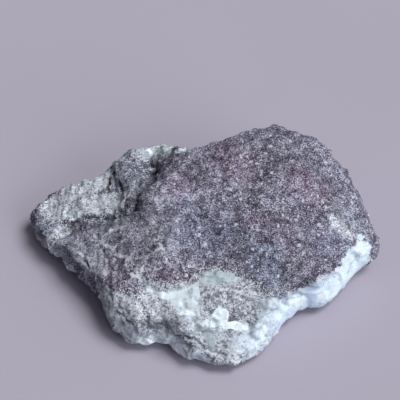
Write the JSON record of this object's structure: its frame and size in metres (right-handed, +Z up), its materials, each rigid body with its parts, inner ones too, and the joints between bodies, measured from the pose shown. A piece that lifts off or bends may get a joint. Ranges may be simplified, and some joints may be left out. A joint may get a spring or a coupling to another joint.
{
  "type": "rough larimar stone",
  "caption": "Rough broken larimar specimen: a low wedge of dark grainy basalt with pale blue mineral along its front edge and left ledge, lying on a small flat spot.",
  "frame": {"origin": "on the surface it rests on, under the middle of the stone's box", "axes": "+X along the length towards the blunt end, +Y to the high back edge, +Z up"},
  "size_m": [0.1056, 0.071, 0.0287],
  "materials": {
    "stone": "rough broken stone"
  },
  "bodies": {
    "root": {"stone": "stone"}
  },
  "joints": []
}
